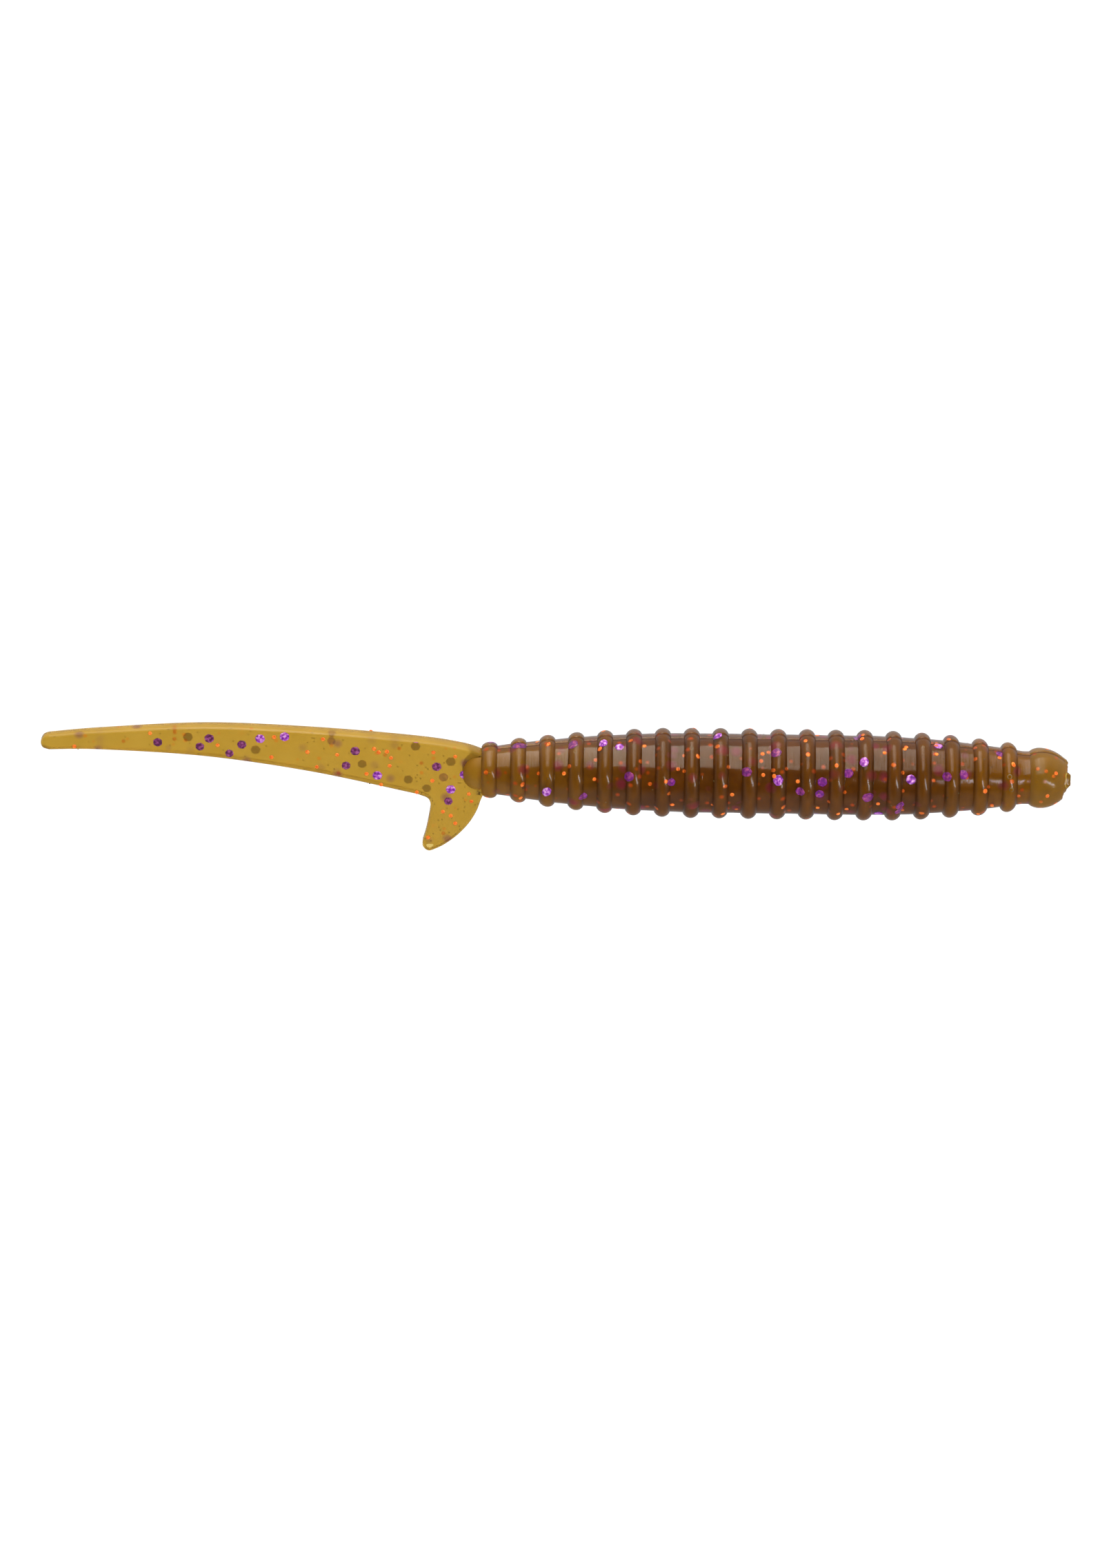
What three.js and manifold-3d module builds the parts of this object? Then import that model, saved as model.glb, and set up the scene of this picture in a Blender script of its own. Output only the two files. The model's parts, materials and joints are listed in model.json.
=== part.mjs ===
// Soft plastic fishing worm: a ribbed body with a blunt nose, and a flat pintail with a keel fin.
// The worm is one soft moulding. It is split here at the grooves where it bends, into rigid lengths.
//
// Units are millimetres. +X runs along the body towards the nose and +Z is up. The worm lies on its side:
// the middle ribs and the tip of the keel fin touch the plane Z = 0. The origin is below the middle of
// the worm.
//
// The tail and fin are drawn in the worm's own plane, (x, v, w): v is towards the worm's back and w is
// across the blade. ROLL turns that plane until the fin tip touches down.

import * as THREE from "three";
import { mergeVertices } from "three/addons/utils/BufferGeometryUtils.js";
import Module from "manifold-3d";

const wasm = await Module();
wasm.setup();

// ---------------------------------------------------------------- driving dimensions
const LENGTH = 101.6; // nose to tail tip, 4 inches
const RIBS = 19;
const PITCH = 2.85; // rib to rib
const NOSE_TO_RIB = 6.03; // nose end to the centre of the first rib
const RIB_RADIUS = 4.47; // largest, over the middle ribs
const RIB_HALF_WIDTH = 0.785;
const RIB_HEIGHT_NOSE = 0.62;
const RIB_HEIGHT_MIDDLE = 0.55;
const RIB_HEIGHT_TAIL = 0.47;
const RIB_CROWN = 0.68; // of a rib's section: 0.5 is half an ellipse, 1 is a parabola

const TAIL_TAPER = { length: 21.2, drop: 1.62 }; // the core narrows as a parabola over this length
const NOSE_TAPER = { length: 16.4, drop: 1.31 };

const GAP = 0.3; // between neighbouring lengths
const BODY_BEND = 9.5; // degrees that each groove bends either way
const RELIEF = 1; // degrees to spare when a groove is bent that far

const BULB = { radius: 3.0, back: 1.0, flat: 2.75 }; // round nose: its back shoulder and its cut front
const GATE = { radius: 0.85, length: 0.25 }; // the torn stub of the moulding gate

const BLADE = { rootThick: 1.7, middleThick: 1.6, tipThick: 1.25, corner: 0.35 };
const BLADE_ROOT = 7.1; // length of the stiff blade root
const BLADE_LENGTHS = 6; // bending lengths of the blade behind the root
const TIP_ROUND = 0.6; // length over which the tail tip rounds off
const CROTCH_LENGTH = 1.7; // over which the blade's belly edge drops to the fin

const DOME = { length: 1.9, radius: 2.1 }; // the body's rounded end, which swallows the blade root
const FIN = { top: -3.2, tip: -8.85, rootThick: 1.6, tipThick: 1.2, corner: 0.3 };
const FIN_RELIEF = { length: 0.4, share: 0.4 }; // the fin's root edge thins, so that it can swing

const SIDES = 24; // facets round the body; one of them faces straight down

// ---------------------------------------------------------------- derived places
const NOSE_X = LENGTH / 2;
const TAIL_X = -LENGTH / 2;
const FIRST_RIB_X = NOSE_X - NOSE_TO_RIB;
const LAST_RIB_X = FIRST_RIB_X - (RIBS - 1) * PITCH;
const CORE_RADIUS = RIB_RADIUS - RIB_HEIGHT_MIDDLE;
const BODY_END_X = LAST_RIB_X - RIB_HALF_WIDTH;
const ROOT_FRONT_X = BODY_END_X - GAP;
const ROOT_BACK_X = ROOT_FRONT_X - BLADE_ROOT;

const ROLL = rollOntoFin();

const ribX = (number) => FIRST_RIB_X - (number - 1) * PITCH;

// The roll at which the rounded fin tip comes down to the plane under the ribs.
function rollOntoFin() {
  const down = -FIN.tip - FIN.corner;
  const across = FIN.tipThick / 2 - FIN.corner;
  return Math.asin((RIB_RADIUS - FIN.corner) / Math.hypot(down, across)) - Math.atan2(across, down);
}

// ---------------------------------------------------------------- shape functions
// Radius of the core between the ribs at x.
function coreRadius(x) {
  const tail = THREE.MathUtils.clamp((LAST_RIB_X + TAIL_TAPER.length - x) / TAIL_TAPER.length, 0, 1);
  const noseStart = FIRST_RIB_X + PITCH / 2 - NOSE_TAPER.length;
  const nose = THREE.MathUtils.clamp((x - noseStart) / NOSE_TAPER.length, 0, 1);
  return CORE_RADIUS - TAIL_TAPER.drop * tail ** 2 - NOSE_TAPER.drop * nose ** 2;
}

// Ribs stand a little taller towards the nose than towards the tail.
function ribHeight(number) {
  const middle = (RIBS + 1) / 2;
  const share = (middle - number) / (middle - 1);
  const end = share > 0 ? RIB_HEIGHT_NOSE : RIB_HEIGHT_TAIL;
  return RIB_HEIGHT_MIDDLE + (end - RIB_HEIGHT_MIDDLE) * share ** 2;
}

const curve = (points) => new THREE.SplineCurve(points.map(([x, y]) => new THREE.Vector2(x, y)));

// Edges of the blade, back and belly, from its tip to its root.
const backEdge = curve([
  [TAIL_X, 3.2],
  [-44.7, 3.92],
  [-34.5, 4.57],
  [-24.2, 4.24],
  [-14.0, 3.44],
  [ROOT_FRONT_X, 2.1],
]);
const bellyEdge = curve([
  [TAIL_X, 1.82],
  [-44.7, 1.86],
  [-34.5, 1.32],
  [-24.2, -0.16],
  [ROOT_BACK_X, -2.25],
]);
// Edges of the fin, rear and front, from its root to its tip, as (v, x).
const finRear = curve([
  [FIN.top, -12.5],
  [-4.2, -12.3],
  [-6.0, -12.65],
  [-8.0, -13.1],
  [FIN.tip, -12.75],
]);
const finFront = curve([
  [FIN.top, ROOT_FRONT_X],
  [-5.1, -8.05],
  [-6.9, -9.35],
  [-8.1, -10.75],
  [FIN.tip, -12.0],
]);

// The value of a spline whose first coordinate rises or falls steadily, at that coordinate.
function along(spline, at) {
  let low = 0;
  let high = 1;
  const rising = spline.getPoint(1).x > spline.getPoint(0).x;
  for (let i = 0; i < 40; i++) {
    const middle = (low + high) / 2;
    if (spline.getPoint(middle).x < at === rising) low = middle;
    else high = middle;
  }
  return spline.getPoint((low + high) / 2).y;
}

// The blade thins from its root to its tip, as a parabola through the thickness at its middle.
function bladeThickness(x) {
  const { tipThick: tip, middleThick: middle, rootThick: root } = BLADE;
  const share = (x - TAIL_X) / (ROOT_FRONT_X - TAIL_X);
  return tip + (4 * middle - 3 * tip - root) * share + 2 * (tip + root - 2 * middle) * share ** 2;
}

// ---------------------------------------------------------------- solids
// A body of revolution about X from (x, radius) points that start and end on the axis, nose end last.
function turned(profile) {
  const points = profile.map(([x, radius]) => new THREE.Vector2(radius / Math.cos(Math.PI / SIDES), x));
  const lathe = new THREE.LatheGeometry(points, SIDES, Math.PI / SIDES);
  return lathe.rotateZ(-Math.PI / 2);
}

// Distance from a groove's middle to the end face beside it, at some radius: a shallow cone.
const faceSetback = (radius) =>
  GAP / 2 + radius * Math.tan(THREE.MathUtils.degToRad((BODY_BEND + RELIEF) / 2));

// One rib with half a groove on each side. The last one ends flat, where the tail begins.
function ribGeometry(number) {
  const centre = ribX(number);
  const height = ribHeight(number);
  const isLast = number === RIBS;
  const at = (offset) => coreRadius(centre + offset);
  const half = PITCH / 2;
  const rearFace = -half + faceSetback(at(-half));
  const frontFace = half - faceSetback(at(half));
  const profile = isLast
    ? [[-RIB_HALF_WIDTH, 0]]
    : [[-half + GAP / 2, 0], [rearFace, at(rearFace)]];
  const steps = 5;
  for (let i = 0; i <= steps; i++) {
    const offset = RIB_HALF_WIDTH * (-1 + (2 * i) / steps);
    const crown = (1 - (offset / RIB_HALF_WIDTH) ** 2) ** RIB_CROWN;
    profile.push([offset, at(offset) + height * crown]);
  }
  profile.push([frontFace, at(frontFace)], [half - GAP / 2, 0]);
  return turned(profile);
}

// The blunt nose: neck, round bulb, cut front and gate stub. Its own zero is the nose end.
function noseGeometry() {
  const groove = FIRST_RIB_X + PITCH / 2 - NOSE_X;
  const neck = coreRadius(FIRST_RIB_X + PITCH / 2);
  const centre = -GATE.length - BULB.flat;
  const profile = [
    [groove + GAP / 2, 0],
    [groove + faceSetback(neck), neck],
  ];
  const steps = 4;
  for (let i = 0; i <= steps; i++) {
    const turn = (Math.PI / 2) * (i / steps);
    profile.push([centre - BULB.back * Math.cos(turn), neck + (BULB.radius - neck) * Math.sin(turn)]);
  }
  const cut = Math.asin(BULB.flat / BULB.radius);
  for (let i = 1; i <= steps; i++) {
    const turn = cut * (i / steps);
    profile.push([centre + BULB.radius * Math.sin(turn), BULB.radius * Math.cos(turn)]);
  }
  profile.push([-GATE.length, GATE.radius], [0, GATE.radius], [0, 0]);
  return turned(profile);
}

// Points round a rectangle with rounded corners, centred on zero.
function roundedSection(width, thick, corner) {
  const radius = Math.min(corner, width / 2, thick / 2);
  const points = [];
  const perCorner = 3;
  for (let quarter = 0; quarter < 4; quarter++) {
    const signs = [[1, 1], [-1, 1], [-1, -1], [1, -1]][quarter];
    for (let i = 0; i < perCorner; i++) {
      const turn = (Math.PI / 2) * (quarter + i / (perCorner - 1));
      points.push([
        signs[0] * (width / 2 - radius) + radius * Math.cos(turn),
        signs[1] * (thick / 2 - radius) + radius * Math.sin(turn),
      ]);
    }
  }
  return points;
}

// A closed loft through stations { at, low, high, thick }. place(at, across, w) gives each point.
function lofted(stations, corner, place) {
  const positions = [];
  const index = [];
  const sections = stations.map((s) => roundedSection(s.high - s.low, s.thick, corner));
  const count = sections[0].length;
  stations.forEach((s, row) => {
    for (const [across, w] of sections[row]) {
      positions.push(...place(s.at, (s.low + s.high) / 2 + across, w));
    }
  });
  for (let row = 0; row + 1 < stations.length; row++) {
    for (let i = 0; i < count; i++) {
      const a = row * count + i;
      const b = row * count + ((i + 1) % count);
      index.push(a, b, a + count, b, b + count, a + count);
    }
  }
  const lastRow = (stations.length - 1) * count;
  for (const [row, end] of [[0, stations[0]], [lastRow, stations.at(-1)]]) {
    const centre = positions.length / 3;
    positions.push(...place(end.at, (end.low + end.high) / 2, 0));
    for (let i = 0; i < count; i++) {
      const pair = [row + i, row + ((i + 1) % count)];
      if (row === 0) pair.reverse();
      index.push(centre, ...pair);
    }
  }
  const geometry = new THREE.BufferGeometry();
  geometry.setAttribute("position", new THREE.Float32BufferAttribute(positions, 3));
  geometry.setIndex(index);
  return geometry;
}

const alongX = (at, across, w) => [at, across, w];
const alongV = (at, across, w) => [across, at, w];

// A length of blade between two places on X.
function bladeGeometry(fromX, toX) {
  const steps = 4;
  const stations = [];
  const rounds = fromX === TAIL_X;
  const tipSteps = [0.02, 0.15, 0.45];
  const start = rounds ? fromX + TIP_ROUND : fromX;
  const station = (x, swell = 1) => {
    const low = along(bellyEdge, x);
    const high = along(backEdge, x);
    const middle = (low + high) / 2;
    const half = ((high - low) / 2) * swell;
    return { at: x, low: middle - half, high: middle + half, thick: bladeThickness(x) * swell };
  };
  if (rounds) {
    for (const share of tipSteps) {
      const swell = Math.sqrt(1 - (1 - share) ** 2);
      stations.push(station(fromX + TIP_ROUND * share, swell));
    }
  }
  for (let i = 0; i <= steps; i++) stations.push(station(start + ((toX - start) * i) / steps));
  return lofted(stations, BLADE.corner, alongX);
}

// A triangle mesh as a manifold solid, and back.
function toSolid(geometry) {
  const bare = new THREE.BufferGeometry();
  bare.setAttribute("position", geometry.getAttribute("position"));
  if (geometry.index) bare.setIndex(geometry.index);
  const merged = mergeVertices(bare, 1e-4);
  const mesh = new wasm.Mesh({
    numProp: 3,
    vertProperties: merged.getAttribute("position").array,
    triVerts: new Uint32Array(merged.index.array),
  });
  return new wasm.Manifold(mesh);
}

function toGeometry(solid) {
  const mesh = solid.getMesh();
  const geometry = new THREE.BufferGeometry();
  geometry.setAttribute("position", new THREE.BufferAttribute(mesh.vertProperties, 3));
  geometry.setIndex(new THREE.BufferAttribute(mesh.triVerts, 1));
  return geometry;
}

// The stiff root of the blade, joined with the rounded end of the body that it comes out of.
function tailRootGeometry() {
  const bottom = FIN.top + GAP;
  const steps = 8;
  const stations = [];
  for (let i = 0; i <= steps; i++) {
    const x = ROOT_BACK_X + (BLADE_ROOT * i) / steps;
    const toCrotch = THREE.MathUtils.clamp((x - ROOT_BACK_X) / CROTCH_LENGTH, 0, 1);
    const belly = along(bellyEdge, ROOT_BACK_X);
    const low = belly + (bottom - belly) * THREE.MathUtils.smoothstep(toCrotch, 0, 1);
    stations.push({ at: x, low, high: along(backEdge, x), thick: bladeThickness(x) });
  }
  const plate = toSolid(lofted(stations, BLADE.corner, alongX));
  const profile = [];
  const rings = 6;
  for (let i = 0; i <= rings; i++) {
    const turn = (Math.PI / 2) * (i / rings);
    profile.push([ROOT_FRONT_X - DOME.length * Math.cos(turn), DOME.radius * Math.sin(turn)]);
  }
  profile[0][1] = 0;
  profile.push([ROOT_FRONT_X, 0]);
  return toGeometry(plate.add(toSolid(turned(profile))));
}

function finGeometry() {
  const stations = [];
  const at = (v, swell = 1) => {
    const share = (v - FIN.top) / (FIN.tip - FIN.top);
    const low = along(finRear, v);
    const high = along(finFront, v);
    const half = ((high - low) / 2) * swell;
    const thick = THREE.MathUtils.lerp(FIN.rootThick, FIN.tipThick, share);
    return { at: v, low: (low + high) / 2 - half, high: (low + high) / 2 + half, thick };
  };
  const edge = at(FIN.top);
  edge.thick *= FIN_RELIEF.share;
  stations.push(edge);
  const from = FIN.top - FIN_RELIEF.length;
  const steps = 8;
  const roundFrom = FIN.tip + FIN.corner;
  for (let i = 0; i <= steps; i++) stations.push(at(from + ((roundFrom - from) * i) / steps));
  const rounds = 3;
  for (let i = 1; i <= rounds; i++) {
    const turn = (Math.PI / 2) * (i / rounds);
    const end = at(roundFrom - FIN.corner * Math.sin(turn));
    end.thick -= 2 * FIN.corner * (1 - Math.cos(turn));
    stations.push(end);
  }
  return lofted(stations, FIN.corner, alongV);
}

// ---------------------------------------------------------------- materials
const plastic = (name, colour) =>
  new THREE.MeshStandardMaterial({ name, color: colour, roughness: 0.28, metalness: 0 });
const bodyPlastic = plastic("body_plastic", 0x6b4a22);
const nosePlastic = plastic("nose_plastic", 0x82591c);
const tailPlastic = plastic("tail_plastic", 0xb9952f);

// ---------------------------------------------------------------- assembly
const worm = new THREE.Group();

function add(parent, name, geometry, material, x = 0) {
  const mesh = new THREE.Mesh(geometry, material);
  mesh.name = name;
  mesh.position.x = x;
  parent.add(mesh);
}

add(worm, "nose", noseGeometry(), nosePlastic, NOSE_X);
for (let number = 1; number <= RIBS; number++) {
  const name = "ring_" + String(number).padStart(2, "0");
  add(worm, name, ribGeometry(number), bodyPlastic, ribX(number));
}

const tail = new THREE.Group();
tail.rotation.x = ROLL;
worm.add(tail);

add(tail, "tail_root", tailRootGeometry(), tailPlastic);
const bladeStep = (ROOT_BACK_X - TAIL_X) / BLADE_LENGTHS;
for (let number = 1; number <= BLADE_LENGTHS; number++) {
  const toX = ROOT_BACK_X - (number - 1) * bladeStep - GAP;
  const fromX = number === BLADE_LENGTHS ? TAIL_X : ROOT_BACK_X - number * bladeStep;
  add(tail, "tail_blade_" + number, bladeGeometry(fromX, toX), tailPlastic);
}
add(tail, "keel_fin", finGeometry(), tailPlastic);

// Lay the worm on the plane Z = 0, over the origin.
const extent = new THREE.Box3().setFromObject(worm, true);
worm.position.set(0, -(extent.min.y + extent.max.y) / 2, -extent.min.z);

const object = new THREE.Group();
object.add(worm);

export default object;
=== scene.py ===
# Soft plastic fishing worm: the looks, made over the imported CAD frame.
#
# Shapes are worked out in millimetres in the worm's own axes (x, v, w): x towards the nose, v towards
# its back, w across the tail blade. place() turns them into the frame, in metres.

import json
import math
import random

import bmesh
import bpy
import numpy as np
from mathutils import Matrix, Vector


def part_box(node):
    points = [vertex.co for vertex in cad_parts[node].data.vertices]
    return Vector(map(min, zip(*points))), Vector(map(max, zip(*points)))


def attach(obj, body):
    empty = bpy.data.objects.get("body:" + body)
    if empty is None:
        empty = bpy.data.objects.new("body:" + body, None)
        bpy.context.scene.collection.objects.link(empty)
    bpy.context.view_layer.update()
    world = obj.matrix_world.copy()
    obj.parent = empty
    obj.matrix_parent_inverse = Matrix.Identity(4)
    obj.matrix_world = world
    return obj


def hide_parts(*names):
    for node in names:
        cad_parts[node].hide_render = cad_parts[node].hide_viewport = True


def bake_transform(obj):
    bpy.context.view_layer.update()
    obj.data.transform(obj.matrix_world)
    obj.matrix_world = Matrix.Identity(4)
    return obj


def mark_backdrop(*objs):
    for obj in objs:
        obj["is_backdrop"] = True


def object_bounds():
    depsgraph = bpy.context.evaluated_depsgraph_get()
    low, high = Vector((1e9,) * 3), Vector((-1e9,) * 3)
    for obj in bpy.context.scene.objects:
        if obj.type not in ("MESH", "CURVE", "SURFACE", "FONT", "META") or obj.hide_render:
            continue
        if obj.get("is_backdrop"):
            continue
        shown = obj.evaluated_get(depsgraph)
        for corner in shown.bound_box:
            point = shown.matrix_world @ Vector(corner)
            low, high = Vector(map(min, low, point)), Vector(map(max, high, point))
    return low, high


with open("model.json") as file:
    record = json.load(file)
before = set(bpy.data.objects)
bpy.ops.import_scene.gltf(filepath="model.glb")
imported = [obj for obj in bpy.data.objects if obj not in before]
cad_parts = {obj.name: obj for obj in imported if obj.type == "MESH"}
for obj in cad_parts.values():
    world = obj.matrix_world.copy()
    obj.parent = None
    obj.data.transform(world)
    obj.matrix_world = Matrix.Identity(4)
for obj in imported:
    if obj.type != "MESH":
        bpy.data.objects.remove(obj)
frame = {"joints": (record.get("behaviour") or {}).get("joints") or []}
cad_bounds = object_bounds()

MM = 0.001
rng = random.Random(7)

# ---------------------------------------------------------------- the frame's facts
joints = {joint["name"]: joint for joint in frame["joints"]}


def joint_x(name):
    return joints[name]["pos_m"][0] / MM


def box_mm(node):
    low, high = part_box(node)
    return [c / MM for c in low], [c / MM for c in high]


RIBS = 19
BLADE_LENGTHS = 6
wag_names = ["tail_wag"] + [f"tail_wag_{n}" for n in range(2, BLADE_LENGTHS + 1)]
# The body that each rib and each blade length rides on, by its number. The last rib is on the tail root.
ring_bodies = ["nose"] + [f"ring_{n:02d}" for n in range(1, RIBS)] + ["tail_root"]
blade_bodies = ["tail_root"] + [f"tail_blade_{n}" for n in range(1, BLADE_LENGTHS + 1)]

_, wag_axis_y, wag_axis_z = joints["tail_wag"]["axis"]
ROLL = math.atan2(wag_axis_z, wag_axis_y)
AXIS_Y = joints["body_bend"]["pos_m"][1] / MM
AXIS_Z = joints["body_bend"]["pos_m"][2] / MM
PITCH = (joint_x("body_bend") - joint_x(f"body_bend_{RIBS}")) / (RIBS - 1)
FIRST_RIB_X = joint_x("body_bend") - PITCH / 2
LAST_RIB_X = FIRST_RIB_X - (RIBS - 1) * PITCH
NOSE_X = box_mm("nose")[1][0]
TAIL_X = box_mm(blade_bodies[-1])[0][0]


def rib_x(number):
    return FIRST_RIB_X - (number - 1) * PITCH


def place(x, v, w):
    """A point in the worm's own axes, in millimetres, as a point in the frame, in metres."""
    y = AXIS_Y + v * math.cos(ROLL) - w * math.sin(ROLL)
    z = AXIS_Z + v * math.sin(ROLL) + w * math.cos(ROLL)
    return Vector((x * MM, y * MM, z * MM))


# ---------------------------------------------------------------- dimensions, as in the CAD source
RIB_HALF_WIDTH = 0.785
CORE_RADIUS = 3.92
TAIL_TAPER = (21.2, 1.62)  # length, drop in radius
NOSE_TAPER = (16.4, 1.31)
RIB_HEIGHTS = (0.62, 0.55, 0.47)  # at the nose, middle and tail
RIB_CROWN = 0.68  # of a rib's section: 0.5 is half an ellipse, 1 is a parabola
NOSE_LENGTH = 4.0  # of the bulb and the gate's lip
NECK_END_X = NOSE_X - NOSE_LENGTH
DOME_LENGTH, DOME_RADIUS = 2.0, 2.0
BLADE_THICK = (1.25, 1.6, 1.7)  # tip, middle, root
RIM = 0.34  # radius of the blade's rounded edges


def smooth(low, high, value):
    share = min(1, max(0, (value - low) / (high - low)))
    return share * share * (3 - 2 * share)


def core_radius(x):
    """Radius of the body between the ribs at x."""
    tail = min(1, max(0, (LAST_RIB_X + TAIL_TAPER[0] - x) / TAIL_TAPER[0]))
    nose_start = FIRST_RIB_X + PITCH / 2 - NOSE_TAPER[0]
    nose = min(1, max(0, (x - nose_start) / NOSE_TAPER[0]))
    return CORE_RADIUS - TAIL_TAPER[1] * tail**2 - NOSE_TAPER[1] * nose**2


def rib_height(number):
    """Ribs stand a little taller towards the nose than towards the tail."""
    middle = (RIBS + 1) / 2
    share = (middle - number) / (middle - 1)
    end = RIB_HEIGHTS[0] if share > 0 else RIB_HEIGHTS[2]
    return RIB_HEIGHTS[1] + (end - RIB_HEIGHTS[1]) * share**2


def groove_feet(number):
    """Where the groove in front of a rib starts and ends: at the feet of the ribs beside it."""
    front = rib_x(number - 1) - RIB_HALF_WIDTH if number > 1 else NECK_END_X
    return front, rib_x(number) + RIB_HALF_WIDTH


def length_ends(number):
    """Where a length of the body starts and ends: at the middles of the ribs beside its groove."""
    front = rib_x(number - 1) if number > 1 else NECK_END_X
    back = rib_x(number) if number < RIBS else rib_x(RIBS) - RIB_HALF_WIDTH
    return front, back


def blade_thickness(x):
    """The blade thins from its root to its tip, as a parabola through the thickness at its middle."""
    tip, middle, root = BLADE_THICK
    share = (x - TAIL_X) / (LAST_RIB_X - RIB_HALF_WIDTH - TAIL_X)
    return tip + (4 * middle - 3 * tip - root) * share + 2 * (tip + root - 2 * middle) * share**2


# ---------------------------------------------------------------- camera
PHOTO_SIZE = (1624, 2274)
MM_PER_PIXEL = 0.06819
LENS, SENSOR = 135, 36
CAMERA_OVER = (0.48, 0.49)  # the point of the frame below the picture's middle, in millimetres
CAMERA_ROLL = 0.83  # degrees

camera_data = bpy.data.cameras.new("camera")
camera_data.lens = LENS
camera_data.sensor_width = SENSOR
camera = bpy.data.objects.new("camera", camera_data)
bpy.context.scene.collection.objects.link(camera)
bpy.context.scene.camera = camera
distance = LENS / SENSOR * PHOTO_SIZE[1] * MM_PER_PIXEL
camera.location = Vector((CAMERA_OVER[0], CAMERA_OVER[1], AXIS_Z + distance)) * MM
camera.rotation_euler = (0, 0, math.radians(CAMERA_ROLL))
camera_data.clip_start = 0.01
camera_data.clip_end = 20  # metres, well past the backdrop
bpy.context.scene.view_settings.view_transform = "Standard"


# ---------------------------------------------------------------- mesh helpers
def add_object(name, vertices, faces, materials):
    """A mesh object from millimetre points in the worm's axes. Its rest attribute keeps those points."""
    mesh = bpy.data.meshes.new(name)
    mesh.from_pydata([place(*point) for point in vertices], [], faces)
    for material in materials:
        mesh.materials.append(material)
    mesh.shade_smooth()
    attribute = mesh.attributes.new("rest", "FLOAT_VECTOR", "POINT")
    attribute.data.foreach_set("vector", [c for point in vertices for c in point])
    piece = bpy.data.objects.new(name, mesh)
    bpy.context.scene.collection.objects.link(piece)
    return piece


def blend_along_x(piece, body_a, body_b, start_x, end_x):
    place(start_x, 0, 0)
    place(end_x, 0, 0)
    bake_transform(piece)


def blend_over_groove(piece, number):
    """Bakes a piece's placement into its mesh; it is handed the bodies on the two sides of a rib's front
    groove, but makes no bend.
    """
    blend_along_x(piece, ring_bodies[number - 1], ring_bodies[number], *groove_feet(number))


def curve_through(points, count):
    """Points along a Catmull-Rom curve through the given ones, with count of them to each span."""
    padded = [points[0], *points, points[-1]]
    out = []
    for i in range(1, len(padded) - 2):
        p0, p1, p2, p3 = (np.array(p, float) for p in padded[i - 1 : i + 3])
        for k in range(count):
            t = k / count
            a = 2 * p1
            b = (p2 - p0) * t
            c = (2 * p0 - 5 * p1 + 4 * p2 - p3) * t**2
            d = (-p0 + 3 * p1 - 3 * p2 + p3) * t**3
            out.append(tuple((a + b + c + d) / 2))
    out.append(tuple(points[-1]))
    return out


# ---------------------------------------------------------------- materials
class Nodes:
    """A material's node tree, with short calls to add and link nodes."""

    def __init__(self, name):
        self.material = bpy.data.materials.new(name)
        self.material.use_nodes = True
        self.tree = self.material.node_tree
        self.shader = self.tree.nodes["Principled BSDF"]

    def add(self, kind, **inputs):
        node = self.tree.nodes.new(kind)
        for name, value in inputs.items():
            self.set(node, name.replace("_", " "), value)
        return node

    def set(self, node, name, value):
        socket = node.inputs[name]
        if isinstance(value, bpy.types.NodeSocket):
            self.tree.links.new(value, socket)
        else:
            socket.default_value = value

    def rest(self):
        node = self.add("ShaderNodeAttribute")
        node.attribute_name = "rest"
        return node.outputs["Vector"]

    def tinted(self, colour, tint):
        """One colour multiplied by another."""
        mix = self.add("ShaderNodeMixRGB", Fac=1.0, Color1=colour, Color2=tint)
        mix.blend_type = "MULTIPLY"
        return mix.outputs[0]

    def scaled(self, vector, scale):
        node = self.add("ShaderNodeVectorMath")
        node.operation = "MULTIPLY"
        self.tree.links.new(vector, node.inputs[0])
        node.inputs[1].default_value = scale
        return node.outputs[0]

    def noise(self, vector, scale, detail=2, roughness=0.5):
        node = self.add("ShaderNodeTexNoise", Vector=vector, Scale=scale, Detail=detail, Roughness=roughness)
        return node.outputs["Fac"]

    def ramp(self, value, stops):
        node = self.add("ShaderNodeValToRGB", Fac=value)
        elements = node.color_ramp.elements
        while len(elements) < len(stops):
            elements.new(0.5)
        for element, (position, colour) in zip(elements, stops):
            element.position = position
            element.color = (*colour, 1)
        return node.outputs["Color"]

    def maths(self, operation, *values):
        node = self.add("ShaderNodeMath")
        node.operation = operation
        for socket, value in zip(node.inputs, values):
            if isinstance(value, bpy.types.NodeSocket):
                self.tree.links.new(value, socket)
            else:
                socket.default_value = value
        return node.outputs[0]

    def bump(self, height, distance):
        return self.add("ShaderNodeBump", Height=height, Distance=distance).outputs["Normal"]


def glossy_coat(nodes, weight):
    """The clear wet-looking surface that every piece of the plastic has."""
    nodes.set(nodes.shader, "Coat Weight", weight)
    nodes.set(nodes.shader, "Coat Roughness", 0.06)
    nodes.set(nodes.shader, "Coat IOR", 1.32)


CLOUD = (0.3, 0.7)  # levels of the noise at which a plastic has its dark and its light colour
PLASTIC_IOR = 1.33
TURNING_MARKS = (7, 0.25, 0.25)  # per millimetre along x, v and w: fine streaks that run round the body
# A rib has painted shade at its feet, where the creases beside the grooves lie in shade: the tint by distance
# from the rib's middle.
RIB_FOOT_PAINTED_SHADE = [(0.42, (1, 1, 1)), (0.74, (0.42, 0.36, 0.3))]
# The plastic has a line of painted shade on one side of the parting line, about this far from it, for the
# shade under its ridge and step.
SEAM_MIDDLE = 0.2
SEAM_PAINTED_SHADE = [(0.052, (0.3, 0.2, 0.1)), (0.13, (1, 1, 1))]
SEAM_INSIDE = 2.0  # the cut front of the nose, nearer the middle than this, has no parting line


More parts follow.
